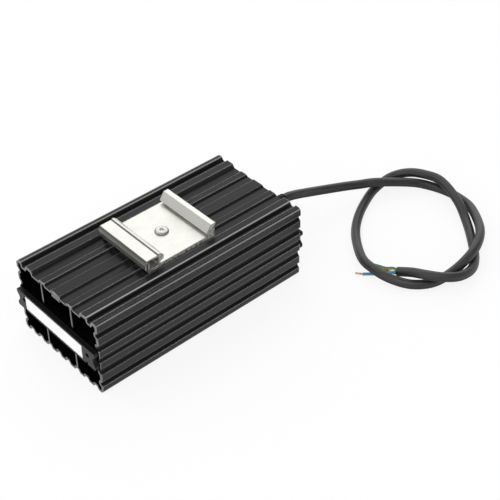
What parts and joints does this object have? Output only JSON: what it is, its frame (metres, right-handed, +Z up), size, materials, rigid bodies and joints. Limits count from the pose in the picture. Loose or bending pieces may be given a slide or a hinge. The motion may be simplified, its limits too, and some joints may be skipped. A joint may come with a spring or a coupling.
{
  "type": "air heater",
  "caption": "Corrugated box-section enclosure heater with open air channels, a flat heating bar, a sprung rail clip on top and a coiled supply cord.",
  "frame": {"origin": "middle of the underside of the housing, on the surface that it stands on", "axes": "+X along the housing towards the end that the cord leaves, +Y across the housing and away from the cord's coil, +Z up through the rail clip"},
  "size_m": [0.2651, 0.1415, 0.0558],
  "materials": {
    "black_anodised": "satin black anodised",
    "black_plastic": "moulded, slightly glossy",
    "gasket_rubber": "matte",
    "silicone": "matte",
    "label_white": "bare satin film",
    "ceramic": "sintered, matte",
    "frame_plastic": "matte",
    "bare_aluminium": "rolled",
    "film": "glossy amber film",
    "tinned_metal": "tinned",
    "steel": "zinc plated",
    "clip_metal": "bright, finely brushed",
    "jacket_rubber": "matte",
    "core_brown": "smooth",
    "core_blue": "smooth",
    "core_green_yellow": "smooth",
    "copper": "bare stranded wire"
  },
  "bodies": {
    "heater": {"housing": "black_anodised", "end_cap_front": "black_plastic", "end_cap_rear": "black_plastic", "gasket_front": "gasket_rubber", "gasket_rear": "gasket_rubber", "seal_pad_front": "silicone", "seal_pad_rear": "silicone", "label": "label_white", "heating_tablets": "ceramic", "tablet_frame": "frame_plastic", "electrode_upper": "bare_aluminium", "electrode_lower": "bare_aluminium", "insulating_sleeve": "film", "crimp_splices": "tinned_metal", "lead_live": "core_brown", "lead_neutral": "core_blue", "lead_earth": "core_green_yellow", "earth_lug": "tinned_metal", "earth_screw": "steel", "clip_base": "clip_metal", "latch_springs": "steel", "clip_rivet": "clip_metal", "strain_relief": "black_plastic", "cord_jacket": "jacket_rubber", "core_live": "core_brown", "core_neutral": "core_blue", "core_earth": "core_green_yellow", "copper_live": "copper", "copper_neutral": "copper", "copper_earth": "copper"},
    "latch": {"clip_latch": "clip_metal", "guide_pins": "steel"}
  },
  "joints": [
    {"name": "latch_slide", "type": "slide", "parent": "heater", "child": "latch", "axis": [-1, 0, 0], "range_m": [0, 0.003], "stiffness_N_per_m": 2000, "springref_m": -0.002, "deforming": ["latch_springs"]}
  ]
}
